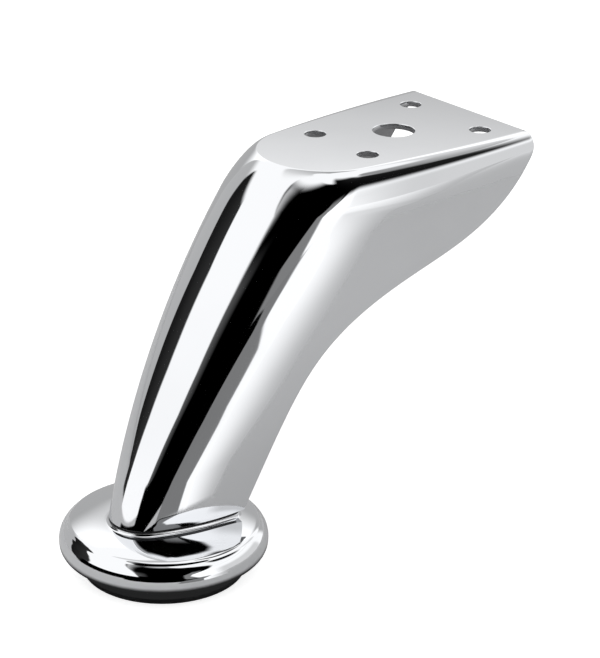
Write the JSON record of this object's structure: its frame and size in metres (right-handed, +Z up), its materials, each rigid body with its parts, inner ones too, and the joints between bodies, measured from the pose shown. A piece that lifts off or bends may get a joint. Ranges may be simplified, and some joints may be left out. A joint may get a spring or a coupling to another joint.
{
  "type": "sofa leg",
  "caption": "Chrome cast sofa leg: open-backed channel sweeping forward from a drilled fixing plate to a round foot with a glide pad.",
  "frame": {"origin": "middle of the large hole, on the top face of the fixing plate", "axes": "+Z up out of the fixing plate, -Y towards the front, where the foot is, X across the leg"},
  "size_m": [0.063, 0.1521, 0.12],
  "materials": {
    "leg_chrome": "polished chrome plate on a casting",
    "foot_chrome": "polished chrome plate on a casting",
    "screw_steel": "zinc-plated steel",
    "pad_plastic": "black moulded plastic"
  },
  "bodies": {
    "root": {"leg_casting": "leg_chrome", "foot_casting": "foot_chrome", "foot_screw": "screw_steel", "glide_pad": "pad_plastic"}
  },
  "joints": []
}
